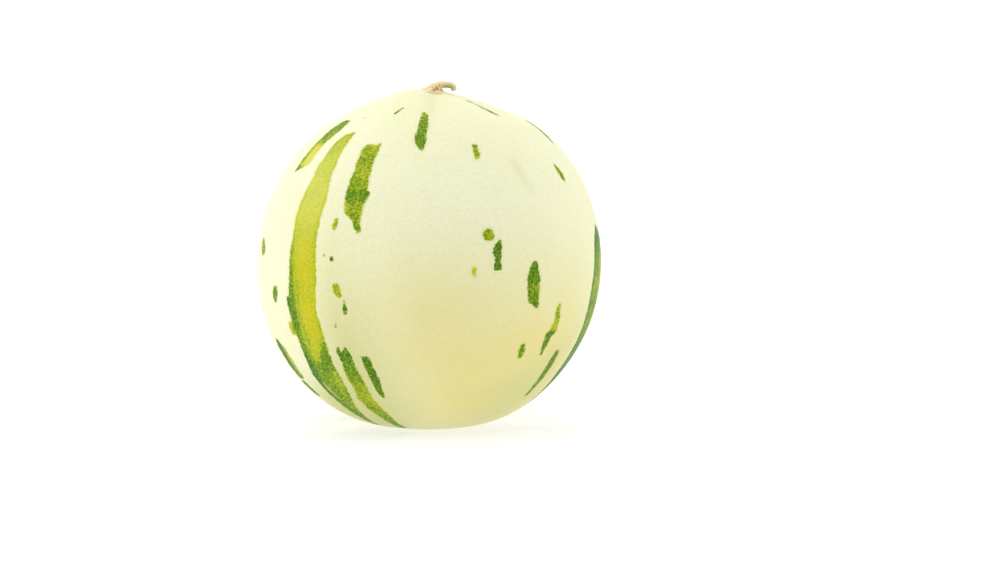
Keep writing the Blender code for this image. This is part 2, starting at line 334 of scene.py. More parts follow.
# The stage, in metres unless a name says so
TABLE_RADIUS, TABLE_DROP = 12.0, 0.05 * MM
KEY_PLACE, KEY_SIZE = (-1.2, -0.3, 0.6), 1.0
FILL_PLACE, FILL_SIZE = (1.2, 0.0, 0.6), 0.9
CEILING_SPREAD = radians(100)
SENSOR_MM, LENS_MM, CLIP_START = 36, 100, 0.05

# The types of socket for the values that a tree is given
SOCKET_TYPES = {
    int: "NodeSocketInt",
    float: "NodeSocketFloat",
    Vector: "NodeSocketVector",
    bpy.types.Mesh: "NodeSocketGeometry",
    bpy.types.Material: "NodeSocketMaterial",
}

# The kinds of node that are used most, and the property that holds the mode of each
MATH = "ShaderNodeMath"
VECTOR_MATH = "ShaderNodeVectorMath"
MAP_RANGE = "ShaderNodeMapRange"
NOISE = "ShaderNodeTexNoise"
ATTRIBUTE = "ShaderNodeAttribute"
RAMP = "ShaderNodeValToRGB"
MIX = "ShaderNodeMix"
BUMP = "ShaderNodeBump"
RANDOM = "FunctionNodeRandomValue"
MODES = {
    MATH: "operation",
    VECTOR_MATH: "operation",
    MAP_RANGE: "interpolation_type",
    MIX: "data_type",
    RANDOM: "data_type",
}


def linear(colour):
    """A colour given as an sRGB hex value, in linear light with an alpha of 1."""
    parts = [int(colour[n : n + 2], 16) / 255 for n in (1, 3, 5)]
    return (*(p / 12.92 if p <= 0.04045 else ((p + 0.055) / 1.055) ** 2.4 for p in parts), 1.0)


WHITE = linear("#ffffff")


def towards(bearing, elevation):
    """The unit vector at a bearing and an elevation."""
    turn, lift = radians(bearing), radians(elevation)
    return Vector((cos(lift) * sin(turn), -cos(lift) * cos(turn), sin(lift)))


def fill(made, inputs):
    """Fills a node's inputs with values, sockets or nodes, each by its first output in use."""
    for key, value in inputs.items():
        if isinstance(value, bpy.types.Node):
            value = next(output for output in value.outputs if output.enabled)
        if isinstance(value, bpy.types.NodeSocket):
            made.id_data.links.new(value, made.inputs[key])
        else:
            made.inputs[key].default_value = value


def node(tree, kind, inputs=None, mode=None, stops=(), **settings):
    """Adds a node, sets its mode and properties, fills its inputs and gives a ramp its stops.

    A Map Range turns input 0 from the range of inputs 1 to 2 into the one of 3 to 4, and each
    range is 0 to 1 where it isn't given.
    """
    made = tree.nodes.new(kind)
    if mode:
        settings[MODES[kind]] = mode
    for name, value in settings.items():
        setattr(made, name, value)
    fill(made, inputs or {})
    for place, colour in stops:
        ends = made.color_ramp.elements
        stop = ends[0] if place == 0 else ends[-1] if place == 1 else ends.new(place)
        stop.color = colour
    return made


def new_material(name, sockets):
    """An empty material, what adds nodes to it, and its shader with its constant sockets."""
    material = bpy.data.materials.new(name)
    material.use_nodes = True
    tree = material.node_tree
    tree.nodes.clear()
    shader = node(tree, "ShaderNodeBsdfPrincipled", sockets)
    node(tree, "ShaderNodeOutputMaterial", {"Surface": shader})
    return material, partial(node, tree), shader


def pattern(place, size, **inputs):
    """The inputs of a pattern on Object coordinates that repeats about once in a size."""
    return {"Vector": place, "Scale": 1 / size, **inputs}


def waxy_rind(settings):
    """Melon rind, smooth and waxed by its own cuticle: satin, with light sinking in a little.

    The green lies in the outer cells, so its edges are ragged, and pale pores dot it.
    """
    sockets = {
        "IOR": 1.3,
        "Specular IOR Level": 0.2,
        "Subsurface Weight": 0.06,
        "Subsurface Scale": 1.0 * MM,
        "Subsurface Radius": (1.0, 0.8, 0.35),
    }
    material, add, shader = new_material("waxy melon rind", sockets)
    place = add("ShaderNodeTexCoord").outputs["Object"]
    mark, ripe, pale, beige_light_and_shade, flush, tan = (
        add(ATTRIBUTE, attribute_name=name).outputs["Fac"]
        for name in ("mark", "ripeness", "paleness", "beige_light_and_shade", "flush", "tan")
    )

    # Pores less than 1 mm apart. Where a mark ends they eat into its edge.
    pores = add("ShaderNodeTexVoronoi", pattern(place, 0.9 * MM, Randomness=0.9))
    bite = add(MAP_RANGE, {0: pores, 1: 0.0, 2: 0.7, 3: 0.26, 4: -0.22})
    wander = add(NOISE, pattern(place, 2.4 * MM, Detail=3.0))
    drift = add(MAP_RANGE, {0: wander, 1: 0.25, 2: 0.75, 3: -0.38, 4: 0.38})
    bitten = add(MATH, {0: mark, 1: bite}, "ADD")
    ragged = add(MATH, {0: bitten, 1: drift}, "ADD")
    green = add(MAP_RANGE, {0: ragged, 1: 0.2, 2: -0.2}, "SMOOTHSTEP")

    # The tint of the marks, with soft clouds of ripening, a fine mottle and a riper rim
    clouds = add(NOISE, pattern(place, 9 * MM, Detail=2.0))
    mottle = add(NOISE, pattern(place, 1.1 * MM, Detail=2.0))
    cloudy = add(MATH, {0: clouds, 1: 0.5, 2: ripe}, "MULTIPLY_ADD")
    mottled = add(MATH, {0: mottle, 1: 0.6, 2: cloudy}, "MULTIPLY_ADD")
    rim = add(MAP_RANGE, {0: ragged, 1: -0.7, 2: 0.1, 3: -0.49, 4: -0.2})
    rimmed = add(MATH, {0: mottled, 1: rim}, "ADD")
    netted = add(MATH, {0: bite, 1: 0.5, 2: rimmed}, "MULTIPLY_ADD")
    tints = (
        (0.0, settings.deep_green),
        (0.3, settings.green),
        (0.58, settings.lime),
        (1.0, settings.yellow),
    )
    tint = add(RAMP, {"Fac": netted}, stops=tints)
    dot = add(MAP_RANGE, {0: pores, 1: 0.42, 2: 0.15, 3: 0.0, 4: 0.32})
    paler = add(MATH, {0: dot, 1: pale}, "ADD")
    dotted = add(MIX, {"Factor": paler, "A": tint, "B": settings.pore}, "RGBA")

    # The cream skin: broad clouds of a deeper cream, more green by the marks and the flushes. The
    # beige strokes add painted shade where they deepen it and painted light where they lighten it.
    # The flushes add painted shade low on the fruit and beside the stem's foot.
    cream_clouds = add(NOISE, pattern(place, 34 * MM, Detail=3.0))
    clouded = add(MAP_RANGE, {0: cream_clouds, 1: 0.4, 2: 0.7, 3: 0.16, 4: 0.3})
    deeper = add(MATH, {0: clouded, 1: beige_light_and_shade}, "ADD")
    cream = add(MIX, {"Factor": deeper, "A": settings.cream, "B": settings.deep_cream}, "RGBA")
    near_mark = add(MAP_RANGE, {0: mark, 1: 1.4, 2: 0.0, 3: 0.0, 4: 0.3})
    speckle = add(MAP_RANGE, {0: mottle, 1: 0.4, 2: 0.66, 3: 0.0, 4: 0.18})
    greener_and_shaded = add(MATH, {0: near_mark, 1: flush}, "MAXIMUM")
    speckled = add(MATH, {0: greener_and_shaded, 1: speckle}, "ADD")
    flushed_and_shaded = add(MIX, {"Factor": speckled, "A": cream, "B": settings.flush}, "RGBA")
    marked = add(MIX, {"Factor": green, "A": flushed_and_shaded, "B": dotted}, "RGBA")

    # Cork that has grown over the skin round the stem and in the blossom scar
    grains = add(NOISE, pattern(place, 1.1 * MM, Detail=3.0))
    cork = add(MATH, {0: grains, 1: 0.9, 2: tan}, "MULTIPLY_ADD")
    corked = add(MAP_RANGE, {0: cork, 1: 0.62, 2: 1.15}, "SMOOTHSTEP")
    colour = add(MIX, {"Factor": corked, "A": marked, "B": settings.tan}, "RGBA")

    # A satin finish that the pores break up a little, and the faint unevenness of a grown skin
    satin = add(MAP_RANGE, {0: mottle, 1: 0.3, 2: 0.7, 3: 0.42, 4: 0.52})
    pits = add(MAP_RANGE, {0: pores, 1: 0.0, 2: 0.35})
    fine = add(BUMP, {"Height": pits, "Distance": 0.012 * MM})
    broad = add(BUMP, {"Height": wander, "Distance": 0.05 * MM, "Normal": fine})
    fill(shader, {"Base Color": colour, "Roughness": satin, "Normal": broad})
    return material


def dry_stalk(settings):
    """A dried melon stalk: pale fibrous straw, matte, with rough red-brown cork at its foot, and
    painted shade on the underside of its olive tip.
    """
    material, add, shader = new_material("dry fibrous stalk", {"IOR": 1.4})
    place = add("ShaderNodeTexCoord").outputs["Object"]
    grain = add(ATTRIBUTE, attribute_name="grain").outputs["Vector"]
    share = add(ATTRIBUTE, attribute_name="along").outputs["Fac"]
    cork = add(ATTRIBUTE, attribute_name="cork").outputs["Fac"]

    # Straw with furrows along it, darker in them, which is painted shade, and turning olive at the
    # tip. The tip is darker on its underside, which is painted shade too.
    strands = add(NOISE, {"Vector": grain, "Scale": 3.0, "Detail": 4.0})
    straws = (
        (0.0, settings.shade),
        (0.42, settings.straw),
        (0.62, settings.pale_straw),
        (1.0, settings.pale_straw),
    )
    straw = add(RAMP, {"Fac": strands}, stops=straws)
    tip = add(MAP_RANGE, {0: share, 1: 0.45, 2: 0.7}, "SMOOTHSTEP")
    inward = add("ShaderNodeSeparateXYZ", {0: grain}).outputs["X"]
    # Painted shade: the tip is darkest on its underside, where the grain's X is 1
    under = add(MAP_RANGE, {0: inward, 1: -0.5, 2: 0.7, 3: 0.25, 4: 0.95})
    withered_and_shaded = add(MATH, {0: tip, 1: under}, "MULTIPLY")
    tipped_and_shaded = add(MIX, {"Factor": withered_and_shaded, "A": straw, "B": settings.olive}, "RGBA")

    patches = add(NOISE, pattern(place, 0.9 * MM, Detail=4.0))
    patchy = add(MATH, {0: patches, 1: 2.4, 2: cork}, "MULTIPLY_ADD")
    rusty = add(MAP_RANGE, {0: patchy, 1: 1.45, 2: 1.95}, "SMOOTHSTEP")
    colour = add(MIX, {"Factor": rusty, "A": tipped_and_shaded, "B": settings.cork}, "RGBA")
    matte = add(MAP_RANGE, {0: strands, 1: 0.3, 2: 0.7, 3: 0.68, 4: 0.88})
    furrows = add(BUMP, {"Height": strands, "Distance": 0.12 * MM})
    pitted = add(BUMP, {"Height": patches, "Distance": 0.1 * MM, "Normal": furrows})
    fill(shader, {"Base Color": colour, "Roughness": matte, "Normal": pitted})
    return material


def lit_table(settings):
    """A white acrylic table lit from below, which keeps the shadows on it faint."""
    sockets = {
        "Roughness": 0.95,
        "IOR": 1.2,
        "Emission Color": WHITE,
        "Emission Strength": settings.table,
    }
    material, add, shader = new_material("lit white acrylic", sockets)
    place = add("ShaderNodeTexCoord").outputs["Object"]
    clouds = add(NOISE, pattern(place, 60 * MM, Detail=2.0))
    tones = ((0.0, linear("#b4b4b4")), (1.0, linear("#bababa")))
    tone = add(RAMP, {"Fac": clouds}, stops=tones)
    fill(shader, {"Base Color": tone})
    return material


def new_tree(name, values):
    """An empty modifier tree with an input for each value, what adds nodes, and its inputs."""
    tree = bpy.data.node_groups.new(name, "GeometryNodeTree")
    tree.is_modifier = True
    for label, value in values.items():
        tree.interface.new_socket(label, in_out="INPUT", socket_type=SOCKET_TYPES[type(value)])
    tree.interface.new_socket("Geometry", in_out="OUTPUT", socket_type="NodeSocketGeometry")
    return tree, partial(node, tree), node(tree, "NodeGroupInput").outputs


def end_tree(add, geometry, given):
    """Ends a tree: its instances are made real, and it takes the finish that is given."""
    real = add("GeometryNodeRealizeInstances", {0: geometry})
    smooth = add("GeometryNodeSetShadeSmooth", {0: real})
    finish = {"Geometry": smooth, "Material": given["Finish"]}
    add("NodeGroupOutput", {0: add("GeometryNodeSetMaterial", finish)})


def grow(name, make_tree, values):
    """A new object that holds, as plain mesh, what a tree makes from the values.

    A value called Geometry is the mesh that it starts from.
    """
    tree = make_tree(values)
    start = values.get("Geometry") or bpy.data.meshes.new(name)
    piece = bpy.data.objects.new(name, start)
    bpy.context.scene.collection.objects.link(piece)
    modifier = piece.modifiers.new(tree.name, "NODES")
    modifier.node_group = tree
    for item in tree.interface.items_tree:
        if item.name != "Geometry":
            modifier[item.identifier] = values[item.name]
    graph = bpy.context.evaluated_depsgraph_get()
    grown = bpy.data.meshes.new_from_object(
        piece.evaluated_get(graph), preserve_all_data_layers=True, depsgraph=graph
    )
    piece.modifiers.clear()
    piece.data = grown
    if not grown.polygons:
        raise RuntimeError(f"{name} came out empty")
    return piece


def join_root(piece, slot, *nodes):
    """Fixes a finished piece to the melon and hides the solids that it stands for. The slot is not
    used.
    """
    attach(piece, "root")
    if nodes:
        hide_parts(*nodes)


def set_values(mesh, name, values, kind="FLOAT"):
    """Stores one value for each vertex, which the materials read by its name."""
    field = "vector" if kind == "FLOAT_VECTOR" else "value"
    attribute = mesh.attributes.new(name, kind, "POINT")
    attribute.data.foreach_set(field, np.asarray(values, np.float32).ravel())


def add_swell(add, out, swell, base):
    """Adds a swell's rise to a length that a tree has worked out along the unit vector out."""
    top = towards(swell.bearing, swell.elevation)
    facing = add(VECTOR_MATH, {0: out, 1: top}, "DOT_PRODUCT")
    angle = add(MATH, {0: facing}, "ARCCOSINE")
    away = add(MATH, {0: angle, 1: radians(swell.spread)}, "DIVIDE")
    squared = add(MATH, {0: away, 1: away}, "MULTIPLY")
    fading = add(MATH, {0: squared, 1: -1.0}, "MULTIPLY")
    faded = add(MATH, {0: fading}, "EXPONENT")
    return add(MATH, {0: faded, 1: swell.rise, 2: base}, "MULTIPLY_ADD")


def fruit_tree(values):
    """A ball of even squares, raised by its swells and flattened where it rests.

    It starts as a cube, whose grid lines are spread to equal angles, so that no side has a
    pole. Each point is then put at its own distance along the line from the fruit's middle.
    """
    tree, add, given = new_tree("melon fruit", values)
    counts = {f"Vertices {axis}": given["Vertices a Side"] for axis in "XYZ"}
    cube = add("GeometryNodeMeshCube", {"Size": (2.0, 2.0, 2.0), **counts})
    place = add("GeometryNodeInputPosition")
    eighths = add(VECTOR_MATH, {0: place, "Scale": pi / 4}, "SCALE")
    spread = add(VECTOR_MATH, {0: eighths}, "TANGENT")
    out = add(VECTOR_MATH, {0: spread}, "NORMALIZE")

    waves = add(NOISE, {"Vector": out, "Scale": 2.2, "Detail": 1.0})
    middling = add(MATH, {0: waves, 1: 0.6}, "SUBTRACT")
    skin = add(MATH, {0: middling, 1: given["Waviness"], 2: given["Radius"]}, "MULTIPLY_ADD")
    for swell in SWELLS:
        skin = add_swell(add, out, swell, skin)

    # The plane that it rests on cuts each line that points down, at the height over its slope.
    slope = add("ShaderNodeSeparateXYZ", {0: out}).outputs["Z"]
    downward = add(MATH, {0: slope, 1: -0.05}, "MINIMUM")
    sunk = add(MATH, {0: given["Middle Height"], 1: -1.0}, "MULTIPLY")
    scarred = add_swell(add, out, BLOSSOM_DIMPLE, sunk)
    reach = add(MATH, {0: scarred, 1: downward}, "DIVIDE")
    length = add(MATH, {0: skin, 1: reach, 2: given["Edge Softness"]}, "SMOOTH_MIN")

    moved = add(VECTOR_MATH, {0: out, "Scale": length}, "SCALE")
    middle = add("ShaderNodeCombineXYZ", {"Z": given["Middle Height"]})
    raised = add(VECTOR_MATH, {0: moved, 1: middle}, "ADD")
    shaped = add("GeometryNodeSetPosition", {"Geometry": cube, "Position": raised})
    end_tree(add, shaped, given)
    return tree


def directions(mesh):
    """The unit vector from the fruit's middle to each vertex."""
    flat = np.empty(len(mesh.vertices) * 3)
    mesh.vertices.foreach_get("co", flat)
    out = flat.reshape(-1, 3) - np.array(MIDDLE)
    return out / np.linalg.norm(out, axis=1, keepdims=True)


def stroke_distance(rows, bearing, elevation, corner=0.6):
    """How far outside a stroke each place lies, in millimetres, and below 0 how far inside.

    The stroke's corners are rounded to a radius, also in millimetres.
    """
    heights, middles, widths = rows[:, 0], rows[:, 1], rows[:, 2]
    turn = (bearing - np.interp(elevation, heights, middles) + 180) % 360 - 180
    across = np.abs(turn) * np.cos(np.radians(elevation)) * MM_A_DEGREE
    aside = across - np.interp(elevation, heights, widths) / 2 + corner
    beyond = np.maximum(heights[0] - elevation, elevation - heights[-1]) * MM_A_DEGREE + corner
    outside = np.hypot(np.maximum(aside, 0), np.maximum(beyond, 0))
    return outside + np.minimum(np.maximum(aside, beyond), 0) - corner


def soft_strokes(strokes, fade, bearing, elevation):
    """The sum of soft strokes, each worth its tint inside and fading out across its edge."""
    total = np.zeros_like(elevation)
    for stroke in strokes:
        rows = np.array(stroke)[::-1]
        inside = 0.5 - stroke_distance(rows, bearing, elevation) / fade
        inside = np.clip(inside, 0, 1)
        total += np.interp(elevation, rows[:, 0], rows[:, 3]) * inside**2 * (3 - 2 * inside)
    return total


def broken_stripe(draw, bearing, top, bottom, width, tint):
    """One stroke of the back, whose middle, width and tint wander between two uneven ends."""
    count = max(3, round((top - bottom) / PLACE_STEP))
    first, last = draw.uniform(*END_WIDTHS), draw.uniform(*END_WIDTHS)
    rows = []
    for n in range(count + 1):
        share = n / count
        swell = min(1.0, first + WIDENING * share, last + WIDENING * (1 - share))
        bearing += draw.uniform(-BEARING_SWAY, BEARING_SWAY)
        across = width * swell * draw.uniform(*WIDTH_SWAY)
        ripe = tint + draw.uniform(-TINT_SWAY, TINT_SWAY)
        rows.append((top + share * (bottom - top), bearing, across, ripe))
    return tuple(rows)


def back_marks(seed):
    """The broken stripes of the side that the listed marks leave bare."""
    draw = random.Random(seed)
    marks = [broken_stripe(draw, *stripe) for stripe in BROAD_STRIPES]
    for lane in LANES:
        top = draw.uniform(*LANE_TOPS)
        while top > LANE_END:
            piece = LONG_PIECE if draw.random() < LONG_SHARE else SHORT_PIECE
            length = draw.uniform(*piece.length)
            width = draw.uniform(*piece.width)
            tint = draw.choice(LANE_TINTS)
            bearing = lane + draw.uniform(-LANE_DRIFT, LANE_DRIFT)
            marks.append(broken_stripe(draw, bearing, top, top - length, width, tint))
            top -= length + draw.uniform(*LANE_GAPS)
    return marks


def arc_from(out, middle):
    """How far each direction is from a middle one, in millimetres along the skin."""
    return np.degrees(np.arccos(np.clip(out @ np.array(middle), -1, 1))) * MM_A_DEGREE


def paint_rind(mesh):
    """Stores where the marks, flushes and tanned places lie, and the painted light and shade on
    the cream, for the rind's material.
    """
    out = directions(mesh)
    bearing = np.degrees(np.arctan2(out[:, 0], -out[:, 1]))
    elevation = np.degrees(np.arcsin(np.clip(out[:, 2], -1, 1)))

    def soft(strokes, fade):
        return soft_strokes(strokes, fade, bearing, elevation)

    mark = np.full(len(out), NO_MARK)
    ripeness = np.zeros(len(out))
    for stroke in (*MARKS, *back_marks(BACK_SEED)):
        rows = np.array(stroke)[::-1]
        distance = stroke_distance(rows, bearing, elevation)
        tint = np.interp(elevation, rows[:, 0], rows[:, 3])
        ripeness = np.where(distance < mark, tint, ripeness)
        mark = np.minimum(distance, mark)
    set_values(mesh, "mark", mark)
    set_values(mesh, "ripeness", ripeness + soft(STREAKS, STREAK_FADE_MM))
    set_values(mesh, "paleness", soft(PALES, STREAK_FADE_MM))
    set_values(mesh, "beige_light_and_shade", soft(BEIGES_LIGHT_AND_SHADE, BEIGE_FADE_MM))
    # The greenness here holds the green flushes and the painted shade
    set_values(mesh, "flush", soft(FLUSHES_AND_SHADE, FLUSH_FADE_MM) + soft(PAINTED_SHADES, PAINTED_SHADE_FADE_MM))

    x, y = COLLAR_MIDDLE
    foot = Vector((x * MM, y * MM, CROWN.z)) - MIDDLE
    past_collar = np.maximum(arc_from(out, foot.normalized()) - COLLAR_RADIUS, 0)
    from_scar = arc_from(out, (0, 0, -1))
    collar = COLLAR_CORK * np.exp(-((past_collar / COLLAR_FADE) ** 2))
    scar = SCAR_CORK * np.exp(-((from_scar / SCAR_RADIUS) ** 4))
    ring = RING_CORK * np.exp(-((from_scar - RING_RADIUS) ** 2))
    set_values(mesh, "tan", collar + scar + ring + soft(TANS, TAN_FADE_MM))


def unfold(mesh):
    """Gives each of the ball's six sides a square of its own, three by two, in one UV map."""
    out = directions(mesh)
    corners = np.empty(len(mesh.loops), int)
    mesh.loops.foreach_get("vertex_index", corners)
    facing = out[corners].reshape(-1, 4, 3).mean(axis=1)
    axis = np.abs(facing).argmax(axis=1)
    side = axis * 2 + (np.take_along_axis(facing, axis[:, None], 1)[:, 0] > 0)
    axis, side = np.repeat(axis, 4), np.repeat(side, 4)
    rows = np.arange(len(corners))
    ahead = np.abs(out[corners][rows, axis])
    across = out[corners][rows, (axis + 1) % 3]
    upward = out[corners][rows, (axis + 2) % 3]
    spots = np.stack((np.arctan2(across, ahead), np.arctan2(upward, ahead)), axis=1)
    spots = 0.5 + 0.49 * spots / (pi / 4)
    spots = (spots + np.stack((side % 3, side // 3), axis=1)) / (3, 2)
    layer = mesh.uv_layers.new(name="OFBake")
    layer.data.foreach_set("uv", spots.astype(np.float32).ravel())


def skin_radius(out):
    """How far the skin is from the fruit's middle along a unit vector."""
    radius = RADIUS
    for swell in SWELLS:
        away = out.angle(towards(swell.bearing, swell.elevation)) / radians(swell.spread)
        radius += swell.rise * np.exp(-(away**2))
    return radius


def clear_of_skin(point, rise):
    """The point, moved straight out from the fruit's middle to at least a rise off the skin."""
    out = point - MIDDLE
    least = skin_radius(out.normalized()) + rise
    return MIDDLE + out.normalized() * max(out.length, least)


def smooth_rows(rows, steps):
    """The rows with more read between them from a Catmull-Rom curve."""
    rows = np.array(rows)
    rows = np.vstack((2 * rows[0] - rows[1], rows, 2 * rows[-1] - rows[-2]))
    share = np.linspace(0, 1, steps, endpoint=False)[:, None]
    parts = []
    for before, start, end, after in zip(rows, rows[1:], rows[2:], rows[3:]):
        slope_in, slope_out = (end - before) / 2, (after - start) / 2
        bend = 3 * (end - start) - 2 * slope_in - slope_out
        twist = slope_in + slope_out - 2 * (end - start)
        parts.append(start + share * (slope_in + share * (bend + share * twist)))
    return np.vstack((*parts, rows[-2]))


def stem_ring(place, share, settings, rise):
    """One section of the stem, with its ribs, its strands and the roughness of its cork."""
    x, y, height, half_width, lean = place
    middle = CROWN + Vector((x, y, height)) * MM
    across = Vector((cos(radians(lean)), 0.0, -sin(radians(lean))))
    rib_depth = settings.rib_depth * (1 - share) + TIP_RIB_DEPTH * share
    ring = []
    for n in range(settings.sides):
        turn = 2 * pi * n / settings.sides
        way = cos(turn) * across + Vector((0.0, sin(turn), 0.0))
        plain = middle + half_width * MM * way
        ribs = rib_depth * cos(STEM_RIBS * turn + pi)
        strands = settings.strand_depth * cos(STEM_STRANDS * turn + 2 * sin(3 * turn) + 4 * share)
        crust = (FOOT_CRUST * (1 - share) ** 2 + CRUST) * noise.noise(plain / CRUST_SIZE)
        grit = GRIT * noise.noise(plain / GRIT_SIZE)
        reach = half_width * MM * (1 + ribs + strands + crust + grit)
        ring.append(clear_of_skin(middle + reach * way, rise))
    return ring


def centre(ring):
    """The mean of a ring's points."""
    return sum(ring, Vector()) / len(ring)


def stem_rings(settings):
    """The stem's sections from under its foot to its hollow end, each with its share."""
    places = smooth_rows(STEM_STATIONS, settings.steps).tolist()
    x, y, height, half_width, lean = places[0]
    buried = (x, y, height - EDGE_DEPTH_MM, half_width * EDGE_SHARE, lean)
    rings = [(0.0, stem_ring(buried, 0.0, settings, -EDGE_SINK))]
    for n, place in enumerate(places):
        share = n / (len(places) - 1)
        rise = min(FIRST_RISE_MM + RISE_STEP_MM * n, FULL_RISE_MM) * MM
        rings.append((share, stem_ring(place, share, settings, rise)))
    end = centre(rings[-1][1])
    inward = (centre(rings[-3][1]) - end).normalized()
    for size, depth in HOLLOW_END:
        ring = [end + (point - end) * size + inward * depth * MM for point in rings[-1][1]]
        rings.append((1.0, ring))
    return rings


def cork_share(point, share):
    """How corky the stem is: most at its foot, on the front right and under the bend."""
    foot = max(0.0, 1 - share / FOOT_SHARE)
    patch = (point - PATCH_MIDDLE).length / PATCH_SIZE
    return FOOT_CORK * foot + PATCH_CORK * np.exp(-(patch**2))


def stem_mesh(settings):
    """Lofts the stem's sections into one closed mesh, with the values that its finish reads."""
    rings = stem_rings(settings)
    sides = settings.sides
    points = [point for _, ring in rings for point in ring]
    last = (len(rings) - 1) * sides
    faces = []
    for low in range(0, last, sides):
        for m in range(sides):
            after, high = (m + 1) % sides, low + sides
            faces.append((low + m, low + after, high + after, high + m))
    under, pith = len(points), len(points) + 1
    points += [centre(rings[0][1]), centre(rings[-1][1])]
    for m in range(sides):
        after = (m + 1) % sides
        faces += [(after, m, under), (last + m, last + after, pith)]
    mesh = bpy.data.meshes.new("melon_stem")
    mesh.from_pydata(points, [], faces)

    turns = np.tile(2 * pi * np.arange(sides) / sides, len(rings))
    turns = np.append(turns, (0.0, 0.0))
    shares = np.append(np.repeat([share for share, _ in rings], sides), (0.0, 1.0))
    grain = np.stack((np.cos(turns), np.sin(turns), shares * 1.4), axis=1)
    set_values(mesh, "grain", grain, "FLOAT_VECTOR")
    set_values(mesh, "along", shares)
    set_values(mesh, "cork", [cork_share(p, s) for p, s in zip(points, shares)])
    mesh.shade_smooth()
    mesh.set_sharp_from_angle(angle=radians(60))
    return mesh


def cork_tree(values):
    """Scatters rough crumbs of cork over a mesh, as thickly as its cork value says."""
    tree, add, given = new_tree("cork crumbs", values)
    seed = {"Seed": given["Seed"]}
    cork = add("GeometryNodeInputNamedAttribute", {"Name": "cork"}, data_type="FLOAT")
    rich = add(MAP_RANGE, {0: cork, 1: 0.3, 2: 0.75})
    density = add(MATH, {0: rich, 1: given["Crumbs a Square Metre"]}, "MULTIPLY")
    spots = {"Mesh": given["Geometry"], "Density": density, **seed}
    scattered = add("GeometryNodeDistributePointsOnFaces", spots)
    ball = {"Radius": given["Crumb Size"], "Subdivisions": 1}
    sizes = {"Min": (0.5, 0.4, 0.25), "Max": (1.5, 1.1, 0.6), **seed}
    spins = {"Min": (0.0, 0.0, 0.0), "Max": (0.6, 0.6, 2 * pi), **seed}
    turns = {
        "Rotation": scattered.outputs["Rotation"],
        "Rotate By": add(RANDOM, spins, "FLOAT_VECTOR"),
    }
    crumbs = {
        "Points": scattered,
        "Instance": add("GeometryNodeMeshIcoSphere", ball),
        "Rotation": add("FunctionNodeRotateRotation", turns, rotation_space="LOCAL"),
        "Scale": add(RANDOM, sizes, "FLOAT_VECTOR"),
    }
    end_tree(add, add("GeometryNodeInstanceOnPoints", crumbs), given)
    return tree


def fibre_tree(values):
    """A ring of torn strands that stand out of the stem's broken end, each with its own lean."""
    tree, add, given = new_tree("torn strands", values)
    thin = add(MATH, {0: given["Strand Radius"], 1: 0.25}, "MULTIPLY")
    cone = {
        "Vertices": 6,
        "Side Segments": 3,
        "Radius Top": thin,
        "Radius Bottom": given["Strand Radius"],
        "Depth": given["Strand Length"],
    }
    circle = {"Vertices": given["Strands"], "Radius": given["Ring Radius"]}
    leans = {"Min": (-0.35, -0.35, 0.0), "Max": (0.35, 0.35, 2 * pi), "Seed": given["Seed"]}
    sizes = {"Min": (0.7, 0.7, 0.35), "Max": (1.4, 1.4, 1.1), "Seed": given["Seed"]}
    strands = {
        "Points": add("GeometryNodeMeshCircle", circle),
        "Instance": add("GeometryNodeMeshCone", cone),
        "Rotation": add(RANDOM, leans, "FLOAT_VECTOR"),
        "Scale": add(RANDOM, sizes, "FLOAT_VECTOR"),
    }
    moves = {
        "Geometry": add("GeometryNodeInstanceOnPoints", strands),
        "Translation": given["Place"],
        "Rotation": given["Turn"],
    }
    end_tree(add, add("GeometryNodeTransform", moves), given)
    return tree


def white_surround(settings):
    """A world that is white wherever it is seen, and lights the melon less from the front."""
    world = bpy.data.worlds.new("white surround")
    world.use_nodes = True
    world.node_tree.nodes.clear()
    add = partial(node, world.node_tree)
    way = add("ShaderNodeTexCoord").outputs["Generated"]
    front = add(VECTOR_MATH, {0: way, 1: (0.0, -1.0, 0.0)}, "DOT_PRODUCT")
    light = {0: front, 1: 0.2, 2: 0.9, 3: settings.surround, 4: settings.room}
    strength = add(MAP_RANGE, light, "SMOOTHSTEP")
    seen = add("ShaderNodeLightPath").outputs["Is Camera Ray"]
    shown = add(MATH, {0: strength, 1: seen}, "MAXIMUM")
    glow = add("ShaderNodeBackground", {"Color": WHITE, "Strength": shown})
    add("ShaderNodeOutputWorld", {"Surface": glow})
    return world


def add_soft_box(name, place, size, power):
    """A square light that faces the fruit's middle and doesn't show itself."""
    data = bpy.data.lights.new(name, "AREA")
    data.shape = "SQUARE"
    data.size = size
    data.energy = power
    light = bpy.data.objects.new(name, data)
    light.location = place
    light.rotation_euler = (Vector(place) - MIDDLE).to_track_quat("Z", "Y").to_euler()
    light.visible_camera = False
    bpy.context.scene.collection.objects.link(light)


def add_camera(settings):
    """The camera, which looks down a little and aims beside the fruit's middle."""
    camera = bpy.data.objects.new("camera", bpy.data.cameras.new("camera"))
    camera.data.sensor_width = SENSOR_MM
    camera.data.lens = LENS_MM
    camera.data.clip_start = CLIP_START
    back = towards(0, degrees(settings.elevation))
    turn = back.to_track_quat("Z", "Y")
    aim = turn @ Vector((settings.sideways, settings.upward, 0.0))
    place = Matrix.Translation(MIDDLE + back * settings.distance + aim)
    camera.matrix_world = place @ turn.to_matrix().to_4x4()
    bpy.context.scene.collection.objects.link(camera)
    bpy.context.scene.camera = camera


def colour_property(name, description, default):
    """A colour setting whose default is an sRGB hex value."""
    limits = {"size": 4, "min": 0, "max": 1, "subtype": "COLOR"}
    return FloatVectorProperty(
        name=name, description=description, default=linear(default), **limits
    )


def number_property(name, description, default, unit="NONE"):
    """A setting that is a number, with its unit where it has one."""
    return FloatProperty(name=name, description=description, default=default, unit=unit)


